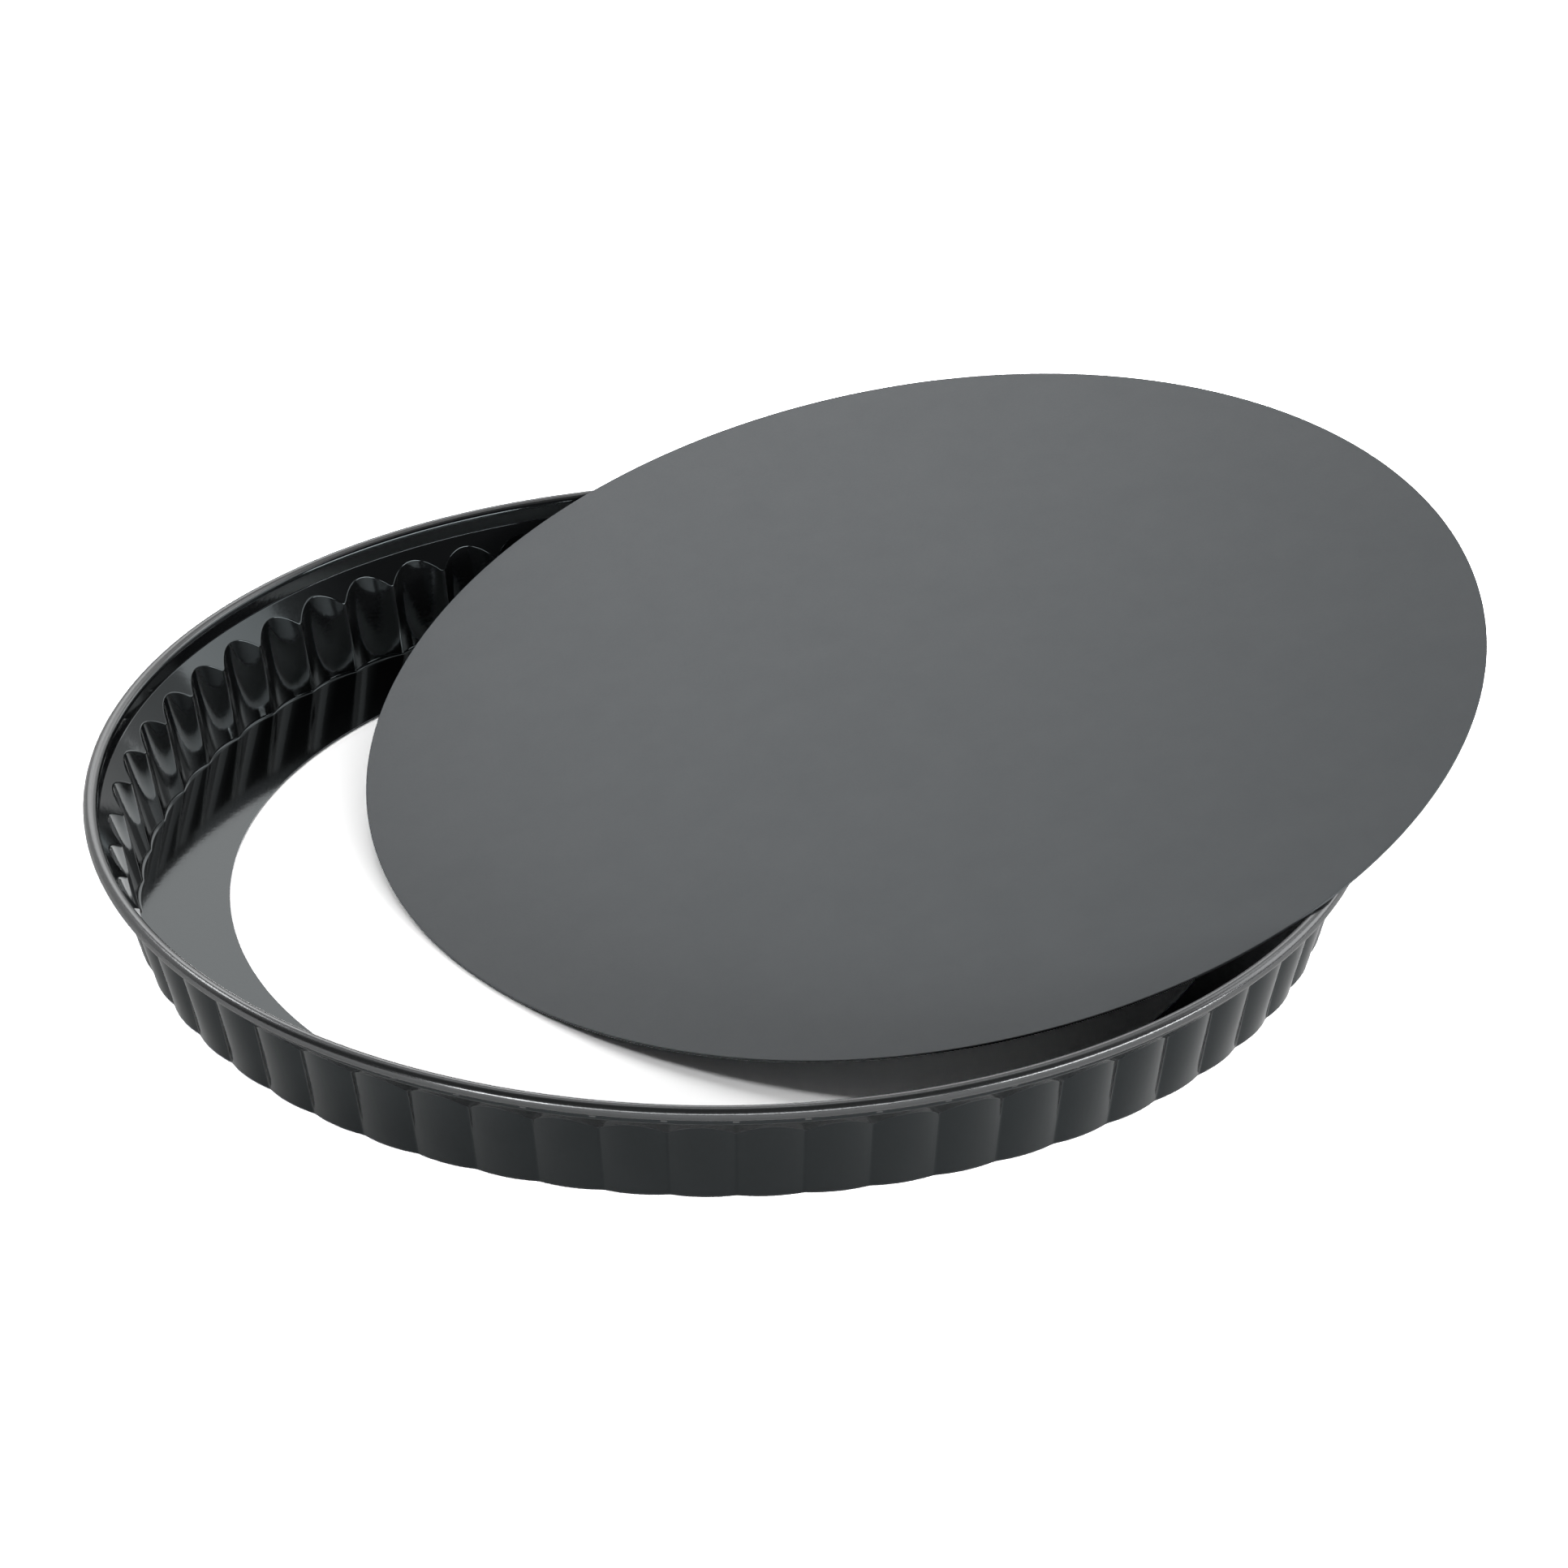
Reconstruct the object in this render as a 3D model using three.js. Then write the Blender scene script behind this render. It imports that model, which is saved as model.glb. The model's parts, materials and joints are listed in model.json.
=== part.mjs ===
// Loose-bottom fluted quiche tin: a drawn sheet-steel ring and a flat disc that leans in it.
// Millimetres, +Z up. The tin stands on the plane z = 0, and the disc leans towards +X.
import * as THREE from 'three';

// Sheet and fits
const SHEET = 0.5;
const SEAT_CLEARANCE = 2.85;
const REST_GAP = 0.3;

// Loose base
const BASE_RADIUS = 130.25;
const BASE_THICKNESS = 0.6;
const BASE_EDGE_EASE = 0.15;
const BASE_SEGMENTS = 120;
const LEAN_ANGLE = THREE.MathUtils.degToRad(12.2);

// Ring: ledge, fluted wall, shelf, collar and rim
const RING_HEIGHT = 28.2;
const LEDGE_WIDTH = 19.6;
const RIDGE_TOP_HEIGHT = 18;
const COLLAR_HEIGHT = 4.9;
const SHELF_SLOPE = THREE.MathUtils.degToRad(47);

// Flutes: narrow ridges inside, wide pockets between them that deepen towards the shelf
const FLUTE_PITCH = 14;
const FLUTE_FOOT_DEPTH = 1;
const RIDGE_WIDTH = 5;
const RIDGE_FILLET = 0.5;
const POCKET_FILLET = 1;
const RIDGE_LEAN = THREE.MathUtils.degToRad(10.2);
const POCKET_LEAN = THREE.MathUtils.degToRad(14);
const FIRST_RIDGE_ANGLE = THREE.MathUtils.degToRad(4.9);

// Rolled rim: the upright collar curls outwards, over and under, and stops short of itself
const RIM_CURL_RADIUS = 1.65;
const RIM_CURL_SWEEP = THREE.MathUtils.degToRad(270);
const RIM_CURL_STEPS = 6;

// Radii and heights that follow from the sizes above
const seatRadius = BASE_RADIUS + SEAT_CLEARANCE;
const holeRadius = seatRadius - LEDGE_WIDTH;
const ridgeFootRadius = seatRadius + RIDGE_FILLET;
const ridgeTopRadius = ridgeFootRadius + (RIDGE_TOP_HEIGHT - SHEET) * Math.tan(RIDGE_LEAN);
const creaseHeight = RING_HEIGHT - COLLAR_HEIGHT;
const creaseRadius = ridgeTopRadius + (creaseHeight - RIDGE_TOP_HEIGHT) / Math.tan(SHELF_SLOPE);
const curlHeight = RING_HEIGHT - RIM_CURL_RADIUS;
const curlCentreRadius = creaseRadius + RIM_CURL_RADIUS;
const rimRadius = curlCentreRadius + RIM_CURL_RADIUS;
const fluteCount = Math.round(2 * Math.PI * ridgeFootRadius / FLUTE_PITCH);

// Where the disc leans: its low edge is on z = 0 and its lower face edge meets the rim at two points
const leanEdgeRadius = BASE_RADIUS - BASE_EDGE_EASE;
const rimContactAlong = (RING_HEIGHT + REST_GAP) / Math.sin(LEAN_ANGLE) - leanEdgeRadius;
const rimContactAcross = Math.sqrt(leanEdgeRadius ** 2 - rimContactAlong ** 2);
const leanOffset = Math.sqrt(curlCentreRadius ** 2 - rimContactAcross ** 2)
  - rimContactAlong * Math.cos(LEAN_ANGLE);
const leanHeight = leanEdgeRadius * Math.sin(LEAN_ANGLE);
const leanReach = leanOffset
  + BASE_RADIUS * Math.cos(LEAN_ANGLE)
  - BASE_EDGE_EASE * Math.sin(LEAN_ANGLE);

// The origin is midway along the whole set, so the ring stands off to -X
const ringCentreX = (rimRadius - leanReach) / 2;

const ringCoating = new THREE.MeshStandardMaterial({ color: 0x1a1b1c, roughness: 0.25, metalness: 0.2 });
const baseCoating = new THREE.MeshStandardMaterial({ color: 0x606364, roughness: 0.5, metalness: 0.3 });

// Share of the flute's depth at a place across one pitch: 0 on a ridge, 1 in the middle of a pocket
function fluteShare(across) {
  return Math.sqrt(Math.sin(Math.PI * across));
}

// Upper and inner side of the sheet from the hole's edge to the end of the curl, as [radius, height] points
function innerLine(share) {
  const footRadius = ridgeFootRadius + share * FLUTE_FOOT_DEPTH;
  const fillet = THREE.MathUtils.lerp(RIDGE_FILLET, POCKET_FILLET, share);
  const shelfFall = Math.tan(SHELF_SLOPE);
  const wallGrowth = THREE.MathUtils.lerp(Math.tan(RIDGE_LEAN), Math.tan(POCKET_LEAN), share);
  const shelfAtFoot = creaseHeight - SHEET - shelfFall * (creaseRadius - footRadius);
  const wallHeight = shelfAtFoot / (1 - shelfFall * wallGrowth);
  const line = [
    [holeRadius, SHEET],
    [footRadius - fillet, SHEET],
    [footRadius + fillet * wallGrowth, SHEET + fillet],
    [footRadius + wallHeight * wallGrowth, SHEET + wallHeight],
    [creaseRadius, creaseHeight],
  ];
  for (let step = 0; step <= RIM_CURL_STEPS; step += 1) {
    const angle = Math.PI - RIM_CURL_SWEEP * step / RIM_CURL_STEPS;
    line.push([
      curlCentreRadius + RIM_CURL_RADIUS * Math.cos(angle),
      curlHeight + RIM_CURL_RADIUS * Math.sin(angle),
    ]);
  }
  return line;
}

// The same line set off to its right by the sheet's thickness, with mitred corners
function outerLine(line) {
  const points = line.map(([radius, height]) => new THREE.Vector2(radius, height));
  const runs = points.slice(1).map((point, index) => point.clone().sub(points[index]).normalize());
  return points.map((point, index) => {
    const incoming = runs[Math.max(index - 1, 0)];
    const outgoing = runs[Math.min(index, runs.length - 1)];
    const middle = incoming.clone().add(outgoing).normalize();
    const reach = SHEET / middle.dot(incoming);
    return [point.x + middle.y * reach, point.y - middle.x * reach];
  });
}

// The ring is its closed sheet section carried round the axis, column by column across every flute
function ringGeometry() {
  const flank = RIDGE_WIDTH / 2 / FLUTE_PITCH;
  const columnsAcross = [0, flank, 0.5, 1 - flank];
  const sections = columnsAcross.map((across) => {
    const inner = innerLine(fluteShare(across));
    return [...inner, ...outerLine(inner).reverse()];
  });
  const sectionLength = sections[0].length;
  const columnCount = fluteCount * columnsAcross.length;
  const positions = [];
  const triangles = [];
  for (let column = 0; column < columnCount; column += 1) {
    const kind = column % columnsAcross.length;
    const flute = (column - kind) / columnsAcross.length;
    const angle = FIRST_RIDGE_ANGLE + 2 * Math.PI * (flute + columnsAcross[kind]) / fluteCount;
    for (const [radius, height] of sections[kind]) {
      positions.push(radius * Math.cos(angle), radius * Math.sin(angle), height);
    }
    const here = column * sectionLength;
    const next = ((column + 1) % columnCount) * sectionLength;
    for (let point = 0; point < sectionLength; point += 1) {
      const following = (point + 1) % sectionLength;
      triangles.push(here + point, next + following, next + point);
      triangles.push(here + point, here + following, next + following);
    }
  }
  const geometry = new THREE.BufferGeometry();
  geometry.setAttribute('position', new THREE.Float32BufferAttribute(positions, 3));
  geometry.setIndex(triangles);
  geometry.computeVertexNormals();
  return geometry;
}

// The disc is turned about its own axis, with its lower face on z = 0 and both edges eased
function baseGeometry() {
  const outline = [
    [0, 0],
    [BASE_RADIUS - BASE_EDGE_EASE, 0],
    [BASE_RADIUS, BASE_EDGE_EASE],
    [BASE_RADIUS, BASE_THICKNESS - BASE_EDGE_EASE],
    [BASE_RADIUS - BASE_EDGE_EASE, BASE_THICKNESS],
    [0, BASE_THICKNESS],
  ];
  const profile = outline.map(([radius, height]) => new THREE.Vector2(radius, height));
  return new THREE.LatheGeometry(profile, BASE_SEGMENTS).rotateX(Math.PI / 2);
}

const flutedRing = new THREE.Mesh(ringGeometry(), ringCoating);
flutedRing.name = 'fluted_ring';
flutedRing.position.set(ringCentreX, 0, 0);

const looseBase = new THREE.Mesh(baseGeometry(), baseCoating);
looseBase.name = 'loose_base';
looseBase.position.set(ringCentreX + leanOffset, 0, leanHeight);
looseBase.rotation.y = -LEAN_ANGLE;

const quicheTin = new THREE.Group();
quicheTin.add(flutedRing, looseBase);

export default quicheTin;
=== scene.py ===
"""Looks of a loose-bottom fluted quiche tin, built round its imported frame.

The set is a drawn sheet-steel ring and a flat loose base that leans in it. Each of the two is a class
that draws the sheet's section, turns it into a mesh with operators and modifiers, and dresses it.
The studio holds floor, light and camera. Metres, +Z up.
"""

import json
import logging
import math
from dataclasses import dataclass
from enum import Enum
from itertools import pairwise

import bmesh
import bpy
from mathutils import Matrix, Vector


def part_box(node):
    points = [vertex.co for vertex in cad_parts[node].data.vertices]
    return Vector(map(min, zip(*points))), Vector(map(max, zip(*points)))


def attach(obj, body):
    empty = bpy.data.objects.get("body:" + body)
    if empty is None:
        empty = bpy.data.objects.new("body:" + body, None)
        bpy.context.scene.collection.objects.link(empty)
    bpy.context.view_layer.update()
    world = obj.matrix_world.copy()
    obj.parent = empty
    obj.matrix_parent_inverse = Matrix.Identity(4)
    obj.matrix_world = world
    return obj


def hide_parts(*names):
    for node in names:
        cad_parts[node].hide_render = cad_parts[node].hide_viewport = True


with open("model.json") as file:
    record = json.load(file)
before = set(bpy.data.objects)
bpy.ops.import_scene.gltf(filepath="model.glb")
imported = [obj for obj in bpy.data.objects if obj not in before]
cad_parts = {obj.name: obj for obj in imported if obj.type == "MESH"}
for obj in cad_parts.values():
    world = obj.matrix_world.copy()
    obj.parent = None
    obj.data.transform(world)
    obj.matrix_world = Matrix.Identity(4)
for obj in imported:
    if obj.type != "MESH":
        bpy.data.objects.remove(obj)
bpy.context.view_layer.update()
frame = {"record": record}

logging.basicConfig(level=logging.INFO, format="%(name)s: %(message)s")
log = logging.getLogger("quiche_tin")

MM = 0.001
WHITE = (1.0, 1.0, 1.0, 1.0)

# Faces that meet at less than this angle are shaded as one smooth surface
SMOOTH_ANGLE = math.radians(40)

# Size of the dot from which a line is drawn
DOT_SIZE = 0.5 * MM

# Points that are nearer to each other than this become one
WELD = 0.01 * MM

# Nearly all values of the noise lie between these two
NOISE_BAND = (0.3, 0.7)

Colour = tuple[float, float, float]


class Side(Enum):
    """The coated zones of the ring's sheet, in the order of its material slots."""

    INSIDE = 0
    OUTSIDE = 1
    BEAD = 2


class Pattern(Enum):
    """The values that the coating pattern group puts out, by socket name."""

    GRAIN = "Grain"
    CLOUD = "Cloud"
    RIPPLE = "Ripple"


@dataclass(frozen=True)
class Corner:
    """One corner of a sheet section, with the radius that the press gives it.

    Args:
        place: Radius from the piece's axis and height along it.
        bend: Radius of the rounded corner, or zero for the end of a run.
        steps: Number of straight pieces that the rounded corner is made of.
    """

    place: Vector
    bend: float = 0.0
    steps: int = 0


def rounded_section(corners: list[Corner], hold: float) -> list[Vector]:
    """Turns corners into a section line with round bends and held straight runs.

    Args:
        corners: The corners in order along the sheet.
        hold: Distance from each bend at which a straight run gets a point.

    Returns:
        The points of the line, as (radius, height) vectors.
    """
    runs: list[list[Vector]] = []
    for index, corner in enumerate(corners):
        if not corner.bend:
            runs.append([corner.place])
            continue
        towards = (corners[index - 1].place - corner.place).normalized()
        onwards = (corners[index + 1].place - corner.place).normalized()
        half_angle = towards.angle(onwards) / 2
        centre = corner.place + (towards + onwards).normalized() * corner.bend / math.sin(half_angle)
        reach = corner.bend / math.tan(half_angle)
        start = corner.place + towards * reach - centre
        turn = start.angle_signed(corner.place + onwards * reach - centre)
        arc = []
        for step in range(corner.steps + 1):
            angle = -turn * step / corner.steps
            arc.append(centre + Matrix.Rotation(angle, 2) @ start)
        runs.append(arc)
    line = list(runs[0])
    for before, after in pairwise(runs):
        straight = (after[0] - before[-1]).normalized()
        line.append(before[-1] + straight * hold)
        line.append(after[0] - straight * hold)
        line.extend(after)
    return line


def clear_selection() -> None:
    """Deselects every object, so that an operator meets only the piece in hand."""
    bpy.ops.object.select_all(action="DESELECT")


def hold_piece(piece: bpy.types.Object) -> None:
    """Makes one piece the only selected and the active object.

    Args:
        piece: The piece to take in hand.
    """
    clear_selection()
    piece.select_set(True)
    bpy.context.view_layer.objects.active = piece


def open_piece(name: str) -> bpy.types.Object:
    """Adds a piece with an empty mesh and opens it in edit mode.

    Args:
        name: Name of the piece.

    Returns:
        The piece's object.
    """
    clear_selection()
    bpy.ops.mesh.primitive_plane_add()
    piece = bpy.context.object
    piece.name = piece.data.name = name
    bpy.ops.object.mode_set(mode="EDIT")
    bpy.ops.mesh.select_all(action="SELECT")
    bpy.ops.mesh.delete(type="VERT")
    return piece


def draw_line(points: list[Vector]) -> None:
    """Draws a line point by point in the piece that is open.

    Args:
        points: The points of the line in order.
    """
    bpy.ops.mesh.select_all(action="DESELECT")
    bpy.ops.mesh.primitive_plane_add(size=DOT_SIZE, location=points[0])
    bpy.ops.mesh.merge(type="CENTER")
    for here, onwards in pairwise(points):
        bpy.ops.mesh.extrude_vertices_move(TRANSFORM_OT_translate={"value": onwards - here})


def report_piece(piece: bpy.types.Object) -> None:
    """Logs a finished piece with its mesh counts."""
    mesh = piece.data
    log.info("%s: %d vertices, %d faces", piece.name, len(mesh.vertices), len(mesh.polygons))


def coating_pattern() -> bpy.types.NodeTree:
    """Builds the pattern that all coatings share: fine grain, soft clouds and a slow ripple.

    Returns:
        The node group, with the sizes of its three patterns as inputs.
    """
    group = bpy.data.node_groups.new("coating_pattern", "ShaderNodeTree")
    sockets = group.interface
    sockets.new_socket("Vector", in_out="INPUT", socket_type="NodeSocketVector")
    for name in ("Grain Size", "Cloud Size", "Ripple Size"):
        sockets.new_socket(name, in_out="INPUT", socket_type="NodeSocketFloat")
    for pattern in Pattern:
        sockets.new_socket(pattern.value, in_out="OUTPUT", socket_type="NodeSocketFloat")
    nodes, links = group.nodes, group.links
    entry = nodes.new("NodeGroupInput")
    leave = nodes.new("NodeGroupOutput")
    for name, pattern, detail in (
        ("Grain Size", Pattern.GRAIN, 3.0),
        ("Cloud Size", Pattern.CLOUD, 4.0),
        ("Ripple Size", Pattern.RIPPLE, 1.0),
    ):
        per_metre = nodes.new("ShaderNodeMath")
        per_metre.operation = "DIVIDE"
        per_metre.inputs[0].default_value = 1.0
        links.new(entry.outputs[name], per_metre.inputs[1])
        noise = nodes.new("ShaderNodeTexNoise")
        noise.inputs["Detail"].default_value = detail
        links.new(entry.outputs["Vector"], noise.inputs["Vector"])
        links.new(per_metre.outputs[0], noise.inputs["Scale"])
        links.new(noise.outputs["Fac"], leave.inputs[pattern.value])
    return group


@dataclass(frozen=True)
class Coating:
    """A baked coating on sheet steel.

    Args:
        name: Name of the material.
        deep: Colour in the darker clouds.
        pale: Colour in the paler clouds.
        smooth: Roughness at its smoothest.
        rough: Roughness at its roughest.
        grain_size: Size of the sandy grain.
        grain_depth: Height of the sandy grain.
        cloud_size: Size of the soft clouds of colour.
        ripple_size: Size of the slow ripple in the surface.
        ripple_depth: Height of the slow ripple.
        glint: Tint of what it mirrors.
        index: Refractive index, which sets how strongly it mirrors.
    """

    name: str
    deep: Colour
    pale: Colour
    smooth: float
    rough: float
    grain_size: float
    grain_depth: float
    cloud_size: float
    ripple_size: float
    ripple_depth: float
    glint: Colour = (0.84, 0.96, 1.0)
    index: float = 1.5

    def material(self, pattern: bpy.types.NodeTree) -> bpy.types.Material:
        """Builds the coating's material from the shared pattern.

        Args:
            pattern: The coating pattern group.

        Returns:
            The finished material.
        """
        material = bpy.data.materials.new(self.name)
        material.use_nodes = True
        nodes, links = material.node_tree.nodes, material.node_tree.links
        shader = nodes["Principled BSDF"]
        shader.inputs["Specular Tint"].default_value = (*self.glint, 1.0)
        shader.inputs["IOR"].default_value = self.index
        place = nodes.new("ShaderNodeTexCoord")
        grain = nodes.new("ShaderNodeGroup")
        grain.node_tree = pattern
        grain.inputs["Grain Size"].default_value = self.grain_size
        grain.inputs["Cloud Size"].default_value = self.cloud_size
        grain.inputs["Ripple Size"].default_value = self.ripple_size
        links.new(place.outputs["Object"], grain.inputs["Vector"])
        tint = nodes.new("ShaderNodeValToRGB")
        for element, position, colour in zip(tint.color_ramp.elements, NOISE_BAND, (self.deep, self.pale)):
            element.position = position
            element.color = (*colour, 1.0)
        links.new(grain.outputs[Pattern.CLOUD.value], tint.inputs["Fac"])
        links.new(tint.outputs["Color"], shader.inputs["Base Color"])
        sheen = nodes.new("ShaderNodeMapRange")
        sheen.inputs["From Min"].default_value = NOISE_BAND[0]
        sheen.inputs["From Max"].default_value = NOISE_BAND[1]
        sheen.inputs["To Min"].default_value = self.smooth
        sheen.inputs["To Max"].default_value = self.rough
        links.new(grain.outputs[Pattern.GRAIN.value], sheen.inputs["Value"])
        links.new(sheen.outputs["Result"], shader.inputs["Roughness"])
        ripple = nodes.new("ShaderNodeBump")
        ripple.inputs["Distance"].default_value = self.ripple_depth
        links.new(grain.outputs[Pattern.RIPPLE.value], ripple.inputs["Height"])
        sand = nodes.new("ShaderNodeBump")
        sand.inputs["Distance"].default_value = self.grain_depth
        links.new(grain.outputs[Pattern.GRAIN.value], sand.inputs["Height"])
        links.new(ripple.outputs["Normal"], sand.inputs["Normal"])
        links.new(sand.outputs["Normal"], shader.inputs["Normal"])
        return material


RING_INSIDE = Coating(
    name="ring_inside_gloss_black",
    deep=(0.005, 0.0055, 0.006),
    pale=(0.007, 0.0075, 0.008),
    smooth=0.06,
    rough=0.1,
    grain_size=0.45 * MM,
    grain_depth=0.002 * MM,
    cloud_size=22 * MM,
    ripple_size=1.5 * MM,
    ripple_depth=0.006 * MM,
)
RING_OUTSIDE = Coating(
    name="ring_outside_satin_dark",
    deep=(0.016, 0.0175, 0.0185),
    pale=(0.021, 0.023, 0.024),
    smooth=0.26,
    rough=0.34,
    grain_size=0.35 * MM,
    grain_depth=0.006 * MM,
    cloud_size=18 * MM,
    ripple_size=11 * MM,
    ripple_depth=0.02 * MM,
)
RING_BEAD = Coating(
    name="ring_bead_sandy_dark",
    deep=(0.018, 0.019, 0.0195),
    pale=(0.024, 0.025, 0.0255),
    smooth=0.16,
    rough=0.26,
    grain_size=0.3 * MM,
    grain_depth=0.012 * MM,
    cloud_size=18 * MM,
    ripple_size=11 * MM,
    ripple_depth=0.02 * MM,
    glint=(0.96, 0.98, 1.0),
    index=1.95,
)
RING_COATINGS = {Side.INSIDE: RING_INSIDE, Side.OUTSIDE: RING_OUTSIDE, Side.BEAD: RING_BEAD}
BASE_SATIN = Coating(
    name="base_satin_grey",
    deep=(0.069, 0.077, 0.082),
    pale=(0.079, 0.087, 0.092),
    smooth=0.36,
    rough=0.44,
    grain_size=0.5 * MM,
    grain_depth=0.008 * MM,
    cloud_size=14 * MM,
    ripple_size=60 * MM,
    ripple_depth=0.02 * MM,
    glint=(0.9, 0.955, 1.0),
)


@dataclass
class FlutedRing:
    """The drawn ring: ledge, fluted wall, shelf, collar and rolled rim.

    Args:
        axis_x: Place of the ring's axis along X.
        rim_radius: Outermost radius of the rolled rim.
        height: Height of the rim's crown above the table.
        sheet: Thickness of the sheet.
        ledge_width: Width of the flat ledge round the hole.
        ridge_fillet: Gap between the flat of the ledge and the foot of a ridge.
        ridge_foot_bend: Bend between ledge and wall on a ridge.
        pocket_foot_bend: Bend between ledge and wall in a pocket.
        foot_steps: Straight pieces in the bend at the foot of the wall.
        ridge_top: Height at which a ridge runs out on the shelf.
        collar_height: Height of the upright collar with its rim.
        ridge_lean: Lean of the ridges from upright.
        pocket_lean: Lean of the pockets from upright.
        shelf_slope: Slope of the shelf between wall and collar.
        shelf_edge_bend: Bend between wall and shelf.
        shelf_edge_steps: Straight pieces in that bend.
        crease_bend: Bend between shelf and collar.
        crease_steps: Straight pieces in that bend.
        curl_radius: Outer radius of the rim's curl.
        curl_sweep: Angle through which the rim is curled.
        curl_steps: Straight pieces in the curl.
        flute_count: Number of flutes round the wall.
        flute_foot_depth: Depth of a flute at the foot of the wall.
        flute_drawn_depth: Depth with which the curve across a flute is drawn.
        ridge_crest_radius: Radius across the crest of a ridge.
        crest_steps: Straight pieces across half a crest.
        pocket_steps: Straight pieces across half a pocket.
        first_ridge: Angle round the axis at which the first ridge stands.
        bead_gloss_width: Width of the rim's inner edge that keeps the gloss of the inside.
        hold: Distance from each bend at which a straight run gets a point.
    """

    axis_x: float
    rim_radius: float
    height: float
    sheet: float = 0.5 * MM
    ledge_width: float = 19.6 * MM
    ridge_fillet: float = 0.5 * MM
    ridge_foot_bend: float = 0.5 * MM
    pocket_foot_bend: float = 1.0 * MM
    foot_steps: int = 6
    ridge_top: float = 18 * MM
    collar_height: float = 4.9 * MM
    ridge_lean: float = math.radians(10.2)
    pocket_lean: float = math.radians(14.6)
    shelf_slope: float = math.radians(47)
    shelf_edge_bend: float = 1.1 * MM
    shelf_edge_steps: int = 5
    crease_bend: float = 0.45 * MM
    crease_steps: int = 4
    curl_radius: float = 1.65 * MM
    curl_sweep: float = math.radians(270)
    curl_steps: int = 14
    flute_count: int = 60
    flute_foot_depth: float = 0.8 * MM
    flute_drawn_depth: float = 2.0 * MM
    ridge_crest_radius: float = 1.2 * MM
    crest_steps: int = 3
    pocket_steps: int = 6
    first_ridge: float = math.radians(4.9)
    bead_gloss_width: float = 0.5 * MM
    hold: float = 0.1 * MM

    @property
    def centre(self) -> Vector:
        """Middle of the ring's hole, on the table."""
        return Vector((self.axis_x, 0, 0))

    @property
    def crease_radius(self) -> float:
        """Radius at which the shelf meets the collar."""
        return self.rim_radius - 2 * self.curl_radius

    @property
    def crease_height(self) -> float:
        """Height at which the shelf meets the collar."""
        return self.height - self.collar_height

    @property
    def ridge_foot(self) -> float:
        """Radius at which a ridge stands on the ledge."""
        shelf_run = (self.crease_height - self.ridge_top) / math.tan(self.shelf_slope)
        return self.crease_radius - shelf_run - (self.ridge_top - self.sheet) * math.tan(self.ridge_lean)

    @property
    def seat(self) -> float:
        """Radius at which the flat of the ledge ends."""
        return self.ridge_foot - self.ridge_fillet

    @property
    def half_pitch(self) -> float:
        """Distance from the middle of a ridge to the middle of a pocket."""
        return math.pi * self.ridge_foot / self.flute_count

    @property
    def crest_flank(self) -> float:
        """Slope at which the arc of a ridge runs into the arc of a pocket."""
        return 2 * math.atan(self.flute_drawn_depth / self.half_pitch)

    def flute_columns(self) -> list[tuple[float, float]]:
        """Places across one flute, from ridge to ridge, with the depth at each.

        Ridge and pocket are two arcs that run into each other.

        Returns:
            Pairs of the share of the pitch and the share of the flute's depth.
        """
        flank = self.crest_flank
        pocket_radius = self.half_pitch / math.sin(flank) - self.ridge_crest_radius
        half = []
        for step in range(self.crest_steps):
            angle = flank * step / self.crest_steps
            half.append((
                self.ridge_crest_radius * math.sin(angle),
                self.ridge_crest_radius * (1 - math.cos(angle)),
            ))
        for step in range(self.pocket_steps + 1):
            angle = flank * (1 - step / self.pocket_steps)
            half.append((
                self.half_pitch - pocket_radius * math.sin(angle),
                self.flute_drawn_depth - pocket_radius * (1 - math.cos(angle)),
            ))
        shares = [(place / self.half_pitch / 2, depth / self.flute_drawn_depth) for place, depth in half]
        return shares + [(1 - place, depth) for place, depth in reversed(shares[:-1])]

    def section(self, share: float) -> list[Vector]:
        """The upper and inner side of the sheet, from the hole's edge to the end of the curl.

        Args:
            share: Share of the flute's depth, 0 on a ridge and 1 in the middle of a pocket.

        Returns:
            Points of the section as (radius, height) vectors.
        """
        fall, growth = math.tan(self.shelf_slope), math.tan(self.ridge_lean)
        growth += share * (math.tan(self.pocket_lean) - growth)
        foot = self.ridge_foot + share * self.flute_foot_depth
        foot_bend = self.ridge_foot_bend + share * (self.pocket_foot_bend - self.ridge_foot_bend)
        wall = self.crease_height - self.sheet - fall * (self.crease_radius - foot)
        wall /= 1 - fall * growth
        shelf_edge = Vector((foot + wall * growth, self.sheet + wall))
        crease = Vector((self.crease_radius, self.crease_height))
        curl_height = self.height - self.curl_radius
        line = rounded_section(
            [
                Corner(Vector((self.seat - self.ledge_width, self.sheet))),
                Corner(Vector((foot, self.sheet)), foot_bend, self.foot_steps),
                Corner(shelf_edge, self.shelf_edge_bend, self.shelf_edge_steps),
                Corner(crease, self.crease_bend, self.crease_steps),
                Corner(Vector((self.crease_radius, curl_height))),
            ],
            self.hold,
        )
        centre = Vector((self.crease_radius + self.curl_radius, curl_height))
        for step in range(1, self.curl_steps + 1):
            angle = math.pi - self.curl_sweep * step / self.curl_steps
            line.append(centre + self.curl_radius * Vector((math.cos(angle), math.sin(angle))))
        return line

    def rib(self, across: float, share: float) -> list[Vector]:
        """Points of the sheet's section at one place across the first flute.

        Args:
            across: Share of the pitch from the first ridge.
            share: Share of the flute's depth there.

        Returns:
            The rib's points in the frame.
        """
        turn = self.first_ridge + 2 * math.pi * across / self.flute_count
        return [
            Vector((self.axis_x + place.x * math.cos(turn), place.x * math.sin(turn), place.y))
            for place in self.section(share)
        ]

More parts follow.
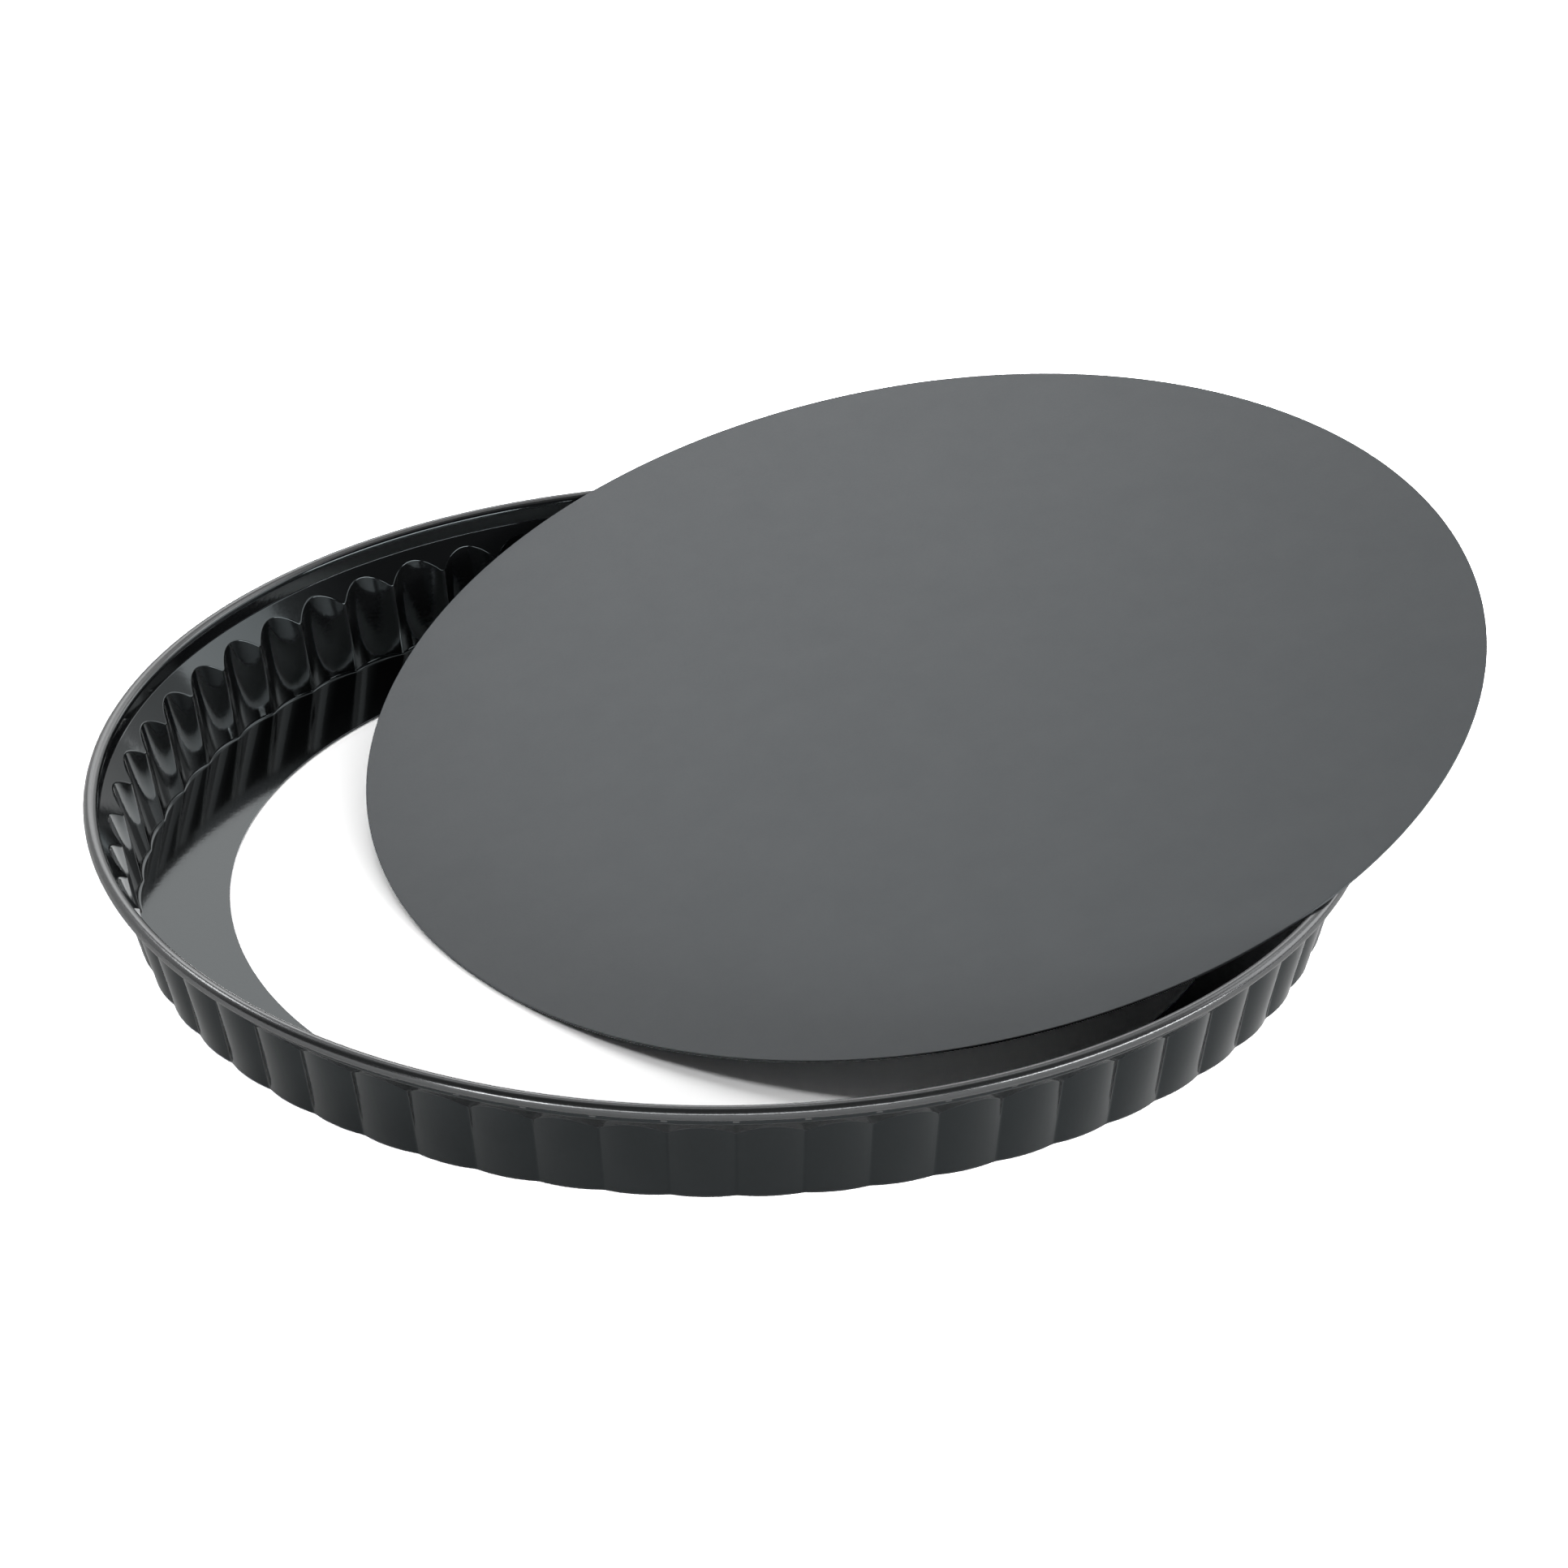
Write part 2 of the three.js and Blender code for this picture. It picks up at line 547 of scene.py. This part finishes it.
    def draw_flute(self) -> None:
        """Draws the ribs of one flute and skins them."""
        for across, share in self.flute_columns():
            draw_line(self.rib(across, share))
        bpy.ops.mesh.select_all(action="SELECT")
        bpy.ops.mesh.bridge_edge_loops(type="SINGLE")

    def build(self) -> bpy.types.Object:
        """Models the ring: one flute drawn, spun round the axis, welded and given its thickness.

        Returns:
            The ring's object.
        """
        ring = open_piece("ring_fluted_sheet")
        self.draw_flute()
        bpy.ops.mesh.select_all(action="SELECT")
        bpy.ops.mesh.spin(
            steps=self.flute_count - 1,
            dupli=True,
            angle=2 * math.pi * (self.flute_count - 1) / self.flute_count,
            center=self.centre,
            axis=(0, 0, 1),
        )
        bpy.ops.mesh.select_all(action="SELECT")
        bpy.ops.mesh.remove_doubles(threshold=WELD)
        bpy.ops.mesh.normals_make_consistent(inside=False)
        shell = bmesh.from_edit_mesh(ring.data)
        ledge = min(shell.faces, key=lambda face: (face.calc_center_median() - self.centre).length)
        if ledge.normal.z < 0:
            bpy.ops.mesh.flip_normals()
        bpy.ops.object.mode_set(mode="OBJECT")
        wall = ring.modifiers.new("sheet", "SOLIDIFY")
        wall.thickness = self.sheet
        wall.offset = -1
        wall.use_even_offset = True
        wall.material_offset = Side.OUTSIDE.value
        wall.material_offset_rim = Side.OUTSIDE.value
        hold_piece(ring)
        bpy.ops.object.modifier_apply(modifier=wall.name)
        bpy.ops.object.shade_smooth_by_angle(angle=SMOOTH_ANGLE)
        bead_start = self.crease_radius + self.bead_gloss_width
        for face in ring.data.polygons:
            reach = (face.center - self.centre).xy.length
            if face.material_index == Side.INSIDE.value and reach > bead_start:
                face.material_index = Side.BEAD.value
        return ring

    def dress(self, ring: bpy.types.Object, pattern: bpy.types.NodeTree) -> None:
        """Gives the ring its coatings and ties it to the frame.

        Args:
            ring: The ring's object.
            pattern: The coating pattern group.
        """
        for side in Side:
            ring.data.materials.append(RING_COATINGS[side].material(pattern))
        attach(ring, "ring")
        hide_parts("fluted_ring")


@dataclass
class LooseBase:
    """The flat disc that closes the ring, here leaning in it.

    Args:
        top_centre: Middle of its upper face.
        top_normal: The way that face looks.
        radius: Radius of the disc.
        thickness: Thickness of its sheet.
        edge_ease: Radius of its eased edges.
        edge_steps: Straight pieces in an eased edge.
        edge_points: Number of points round the disc.
        hold: Distance from each eased edge at which the flat gets a point.
    """

    top_centre: Vector
    top_normal: Vector
    radius: float
    thickness: float = 0.6 * MM
    edge_ease: float = 0.15 * MM
    edge_steps: int = 3
    edge_points: int = 288
    hold: float = 0.1 * MM

    def section(self) -> list[Vector]:
        """Half the disc's section, from the middle of the lower face to that of the upper one.

        Returns:
            Points of the section as (radius, height) vectors, with the upper face at height zero.
        """
        line = rounded_section(
            [
                Corner(Vector((0, -self.thickness))),
                Corner(Vector((self.radius, -self.thickness)), self.edge_ease, self.edge_steps),
                Corner(Vector((self.radius, 0)), self.edge_ease, self.edge_steps),
                Corner(Vector((0, 0))),
            ],
            self.hold,
        )
        # The points that hold a run beside the axis are left out, as there is no bend there
        lower_middle, _, *edge, _, upper_middle = line
        return [lower_middle, *edge, upper_middle]

    def build(self) -> bpy.types.Object:
        """Models the disc: half its section drawn, turned round its axis and laid at its lean.

        Returns:
            The disc's object.
        """
        disc = open_piece("base_loose_disc")
        draw_line([Vector((0, place.x, place.y)) for place in self.section()])
        bpy.ops.object.mode_set(mode="OBJECT")
        turning = disc.modifiers.new("turning", "SCREW")
        turning.steps = turning.render_steps = self.edge_points
        turning.use_merge_vertices = True
        turning.merge_threshold = WELD
        hold_piece(disc)
        bpy.ops.object.modifier_apply(modifier=turning.name)
        bpy.ops.object.mode_set(mode="EDIT")
        bpy.ops.mesh.select_all(action="SELECT")
        bpy.ops.mesh.normals_make_consistent(inside=False)
        bpy.ops.object.mode_set(mode="OBJECT")
        disc.location = self.top_centre
        disc.rotation_euler.y = math.atan2(self.top_normal.x, self.top_normal.z)
        bpy.ops.object.transform_apply(location=True, rotation=True, scale=True)
        bpy.ops.object.shade_smooth_by_angle(angle=SMOOTH_ANGLE)
        return disc

    def dress(self, disc: bpy.types.Object, pattern: bpy.types.NodeTree) -> None:
        """Gives the disc its coating and ties it to the frame.

        Args:
            disc: The disc's object.
            pattern: The coating pattern group.
        """
        disc.data.materials.append(BASE_SATIN.material(pattern))
        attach(disc, "base")
        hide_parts("loose_base")


@dataclass(frozen=True)
class Softbox:
    """A rectangular lamp that looks at the object.

    Args:
        name: Name of the lamp.
        azimuth: Degrees round the object from the picture's right, with 90 away from the camera.
        elevation: Degrees above the table.
        distance: Distance from the point it looks at.
        size: Width and height of its face.
        brightness: How bright its face looks, 1 being white.
    """

    name: str
    azimuth: float
    elevation: float
    distance: float
    size: tuple[float, float]
    brightness: float

    def hang(self, target: Vector, bearing: float) -> None:
        """Adds the lamp to the scene.

        Args:
            target: The point it looks at.
            bearing: Angle from X to the picture's right, clockwise seen from above.
        """
        turn = math.radians(self.azimuth) - bearing
        rise = math.radians(self.elevation)
        place = target + self.distance * Vector((
            math.cos(turn) * math.cos(rise),
            math.sin(turn) * math.cos(rise),
            math.sin(rise),
        ))
        bpy.ops.object.light_add(type="AREA", location=place)
        lamp = bpy.context.object
        lamp.name = self.name
        lamp.data.shape = "RECTANGLE"
        lamp.data.size, lamp.data.size_y = self.size
        lamp.data.energy = self.brightness * math.pi * self.size[0] * self.size[1]
        lamp.rotation_euler = (target - place).to_track_quat("-Z", "Y").to_euler()


SOFTBOXES = (
    Softbox("softbox_above", 90, 76, 1.5, (1.4, 0.15), 1.4),
    Softbox("softbox_behind", 88, 28, 1.6, (1.8, 0.4), 1.4),
    Softbox("softbox_high", 104, 39, 1.5, (0.5, 0.25), 3.1),
    Softbox("softbox_back_left", 150, 43, 1.4, (0.4, 0.2), 8.0),
    Softbox("softbox_right", 18, 25, 1.4, (0.85, 0.65), 2.0),
    Softbox("softbox_right_low", 44, 9, 1.4, (0.45, 0.25), 2.0),
    Softbox("softbox_back_right", 42, 46, 1.4, (0.5, 0.25), 1.4),
    Softbox("softbox_front_right", 332, 12, 1.5, (1.2, 0.2), 13.0),
    Softbox("softbox_front", 272, 13, 1.6, (1.7, 0.2), 8.0),
    Softbox("softbox_front_left", 234, 9, 1.4, (0.4, 0.2), 18.0),
)


@dataclass
class Studio:
    """Floor, surround, lamps and camera.

    Args:
        ring_axis: The ring's axis on the table, from which the camera's place is measured.
        photo_pixels: Width of the photograph.
        focal_pixels: Focal length in pixels of the photograph.
        sensor_mm: Width of the camera's sensor in millimetres.
        bearing: Angle from X to the picture's right, clockwise seen from above.
        camera_back: Level distance from the ring's axis to the camera.
        camera_up: Height of the camera above the table.
        yaw: Turn of the camera to the right of the ring's axis.
        pitch: Turn of the camera up from level.
        roll: Turn of the camera about its own line of sight.
        floor_size: Length of the floor's sides.
        floor_plain: Tone of the floor as a surface that passes light on.
        floor_mirrored: Tones of the floor in reflections, inside the ring and outside it. Inside, it is
            painted
            brighter than to the camera: a painted light on the table that the pockets mirror. Outside, it
                is
            painted darker: a painted shade on the table that the outer wall mirrors.
        floor_shown: Tones of the floor to the camera, inside the ring and outside it. Outside, it is
            painted brighter, which paints light over most of the ring's shadow there.
        floor_change: Radii between which the inner tone passes into the outer one.
        surround_level: Brightness of the surround as light.
        front_level: Brightness of the surround in reflections, on the camera's side.
        back_level: Brightness of the surround in reflections, behind the object.
        fade_start: Depth at which the front level starts to pass into the back level, -1 being
            towards the camera and 1 away from it.
        fade_end: Depth at which the back level is reached.
        aim_height: Height above the table of the point that the lamps look at.
    """

    ring_axis: Vector
    photo_pixels: int = 1932
    focal_pixels: float = 7500
    sensor_mm: float = 36
    bearing: float = math.radians(37.31)
    camera_back: float = 1.1980
    camera_up: float = 0.6946
    yaw: float = math.radians(0.59)
    pitch: float = math.radians(-29.26)
    roll: float = math.radians(-0.45)
    floor_size: float = 8.0
    floor_plain: float = 0.75
    # Painted light and shade on the floor: brighter outside the ring to the camera, brighter inside it and
    # darker outside it in reflections
    floor_mirrored: tuple[float, float] = (5.5, 2.0)
    floor_shown: tuple[float, float] = (3.8, 9.0)
    floor_change: tuple[float, float] = (0.120, 0.130)
    surround_level: float = 0.015
    front_level: float = 0.04
    back_level: float = 0.75
    fade_start: float = -0.1
    fade_end: float = 0.4
    aim_height: float = 20 * MM

    def set_camera(self) -> None:
        """Puts the camera where the photograph was taken from."""
        data = bpy.data.cameras.new("photo_camera")
        data.sensor_width = self.sensor_mm
        data.lens = self.sensor_mm * self.focal_pixels / self.photo_pixels
        camera = bpy.data.objects.new("photo_camera", data)
        bpy.context.scene.collection.objects.link(camera)
        stand = Vector((0, -self.camera_back, self.camera_up))
        place = self.ring_axis + Matrix.Rotation(-self.bearing, 3, "Z") @ stand
        turn = Matrix.Rotation(-self.bearing - self.yaw, 4, "Z")
        tilt = Matrix.Rotation(math.pi / 2 + self.pitch, 4, "X")
        lean = Matrix.Rotation(self.roll, 4, "Z")
        camera.matrix_world = Matrix.Translation(place) @ turn @ tilt @ lean
        bpy.context.scene.camera = camera

    @staticmethod
    def direct_look(nodes: bpy.types.Nodes, links: bpy.types.NodeLinks, *rays: str) -> bpy.types.NodeSocket:
        """Adds the test for rays that show the surroundings as they look.

        Args:
            nodes: Nodes of the material or world.
            links: Links of the material or world.
            rays: Names of the kinds of ray that count.

        Returns:
            A socket that is 1 on such rays if no dull surface has sent them on.
        """
        path = nodes.new("ShaderNodeLightPath")
        look = path.outputs[rays[0]]
        for ray in rays[1:]:
            either = nodes.new("ShaderNodeMath")
            either.operation = "MAXIMUM"
            links.new(look, either.inputs[0])
            links.new(path.outputs[ray], either.inputs[1])
            look = either.outputs[0]
        direct = nodes.new("ShaderNodeMath")
        direct.operation = "SUBTRACT"
        direct.use_clamp = True
        links.new(look, direct.inputs[0])
        links.new(path.outputs["Diffuse Depth"], direct.inputs[1])
        return direct.outputs[0]

    @property
    def away(self) -> Vector:
        """The level direction from the camera across the object."""
        return Matrix.Rotation(-self.bearing, 3, "Z") @ Vector((0, 1, 0))

    def set_surround(self) -> None:
        """Makes the surround white to look at, dark in front for reflections and plain as light."""
        world = bpy.data.worlds.new("studio_surround")
        bpy.context.scene.world = world
        world.use_nodes = True
        nodes, links = world.node_tree.nodes, world.node_tree.links
        place = nodes.new("ShaderNodeTexCoord")
        depth = nodes.new("ShaderNodeVectorMath")
        depth.operation = "DOT_PRODUCT"
        depth.inputs[1].default_value = self.away
        links.new(place.outputs["Generated"], depth.inputs[0])
        fade = nodes.new("ShaderNodeMapRange")
        fade.interpolation_type = "SMOOTHSTEP"
        fade.inputs["From Min"].default_value = self.fade_start
        fade.inputs["From Max"].default_value = self.fade_end
        fade.inputs["To Min"].default_value = self.front_level
        fade.inputs["To Max"].default_value = self.back_level
        links.new(depth.outputs["Value"], fade.inputs["Value"])
        surround = nodes["Background"]
        surround.inputs["Color"].default_value = WHITE
        surround.inputs["Strength"].default_value = self.surround_level
        for ray, strength in (("Is Glossy Ray", fade.outputs["Result"]), ("Is Camera Ray", None)):
            look = nodes.new("ShaderNodeBackground")
            look.inputs["Color"].default_value = WHITE
            if strength:
                links.new(strength, look.inputs["Strength"])
            choice = nodes.new("ShaderNodeMixShader")
            links.new(self.direct_look(nodes, links, ray), choice.inputs["Fac"])
            links.new(surround.outputs[0], choice.inputs[1])
            links.new(look.outputs[0], choice.inputs[2])
            surround = choice
        links.new(surround.outputs[0], nodes["World Output"].inputs["Surface"])

    def lay_floor(self) -> None:
        """Lays the pale floor, which keeps the object's shadow, with tones of painted light and shade."""
        bpy.ops.mesh.primitive_plane_add(size=self.floor_size)
        floor = bpy.context.object
        floor.name = "studio_floor"
        material = bpy.data.materials.new("studio_floor_white")
        material.use_nodes = True
        nodes, links = material.node_tree.nodes, material.node_tree.links
        nodes.remove(nodes["Principled BSDF"])
        paper = nodes.new("ShaderNodeBsdfDiffuse")
        place = nodes.new("ShaderNodeTexCoord")
        reach = nodes.new("ShaderNodeVectorMath")
        reach.operation = "DISTANCE"
        reach.inputs[1].default_value = self.ring_axis
        links.new(place.outputs["Object"], reach.inputs[0])
        # Painted floor tones: to the camera, brighter outside the ring over its shadow; in reflections,
        # brighter inside the ring and darker outside it
        shades = []
        for inside, outside in (self.floor_shown, self.floor_mirrored):
            shade = nodes.new("ShaderNodeMapRange")
            shade.inputs["From Min"].default_value = self.floor_change[0]
            shade.inputs["From Max"].default_value = self.floor_change[1]
            shade.inputs["To Min"].default_value = inside
            shade.inputs["To Max"].default_value = outside
            links.new(reach.outputs["Value"], shade.inputs["Value"])
            shades.append(shade.outputs["Result"])
        shown, mirrored = shades
        looks = nodes.new("ShaderNodeMix")
        links.new(self.direct_look(nodes, links, "Is Camera Ray"), looks.inputs["Factor"])
        links.new(mirrored, looks.inputs["A"])
        links.new(shown, looks.inputs["B"])
        tone = nodes.new("ShaderNodeMix")
        seen = self.direct_look(nodes, links, "Is Camera Ray", "Is Glossy Ray", "Is Transmission Ray")
        links.new(seen, tone.inputs["Factor"])
        tone.inputs["A"].default_value = self.floor_plain
        links.new(looks.outputs["Result"], tone.inputs["B"])
        links.new(tone.outputs["Result"], paper.inputs["Color"])
        links.new(paper.outputs[0], nodes["Material Output"].inputs["Surface"])
        floor.data.materials.append(material)

    def hang_lamps(self) -> None:
        """Hangs the softboxes round the object."""
        target = self.ring_axis + Vector((0, 0, self.aim_height))
        for softbox in SOFTBOXES:
            softbox.hang(target, self.bearing)

    def build(self) -> None:
        """Sets up everything round the object."""
        self.set_camera()
        self.set_surround()
        self.lay_floor()
        self.hang_lamps()
        bpy.context.scene.view_settings.view_transform = "Standard"
        log.info("studio: floor, surround, lamps and camera")


def main() -> None:
    """Builds the ring, the loose base and the studio in order."""
    pattern = coating_pattern()
    low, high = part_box("fluted_ring")
    ring = FlutedRing(
        axis_x=(low.x + high.x) / 2,
        rim_radius=(high.y - low.y) / 2,
        height=high.z,
    )
    sheet = ring.build()
    ring.dress(sheet, pattern)
    report_piece(sheet)
    low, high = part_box("loose_base")
    top = next(mount for mount in frame["record"]["mounts"] if mount["name"] == "base_top")
    base = LooseBase(
        top_centre=Vector(top["pos_m"]),
        top_normal=Vector(top["axis"]).normalized(),
        radius=(high.y - low.y) / 2,
    )
    disc = base.build()
    base.dress(disc, pattern)
    report_piece(disc)
    Studio(ring_axis=ring.centre).build()


if __name__ == "__main__":
    main()
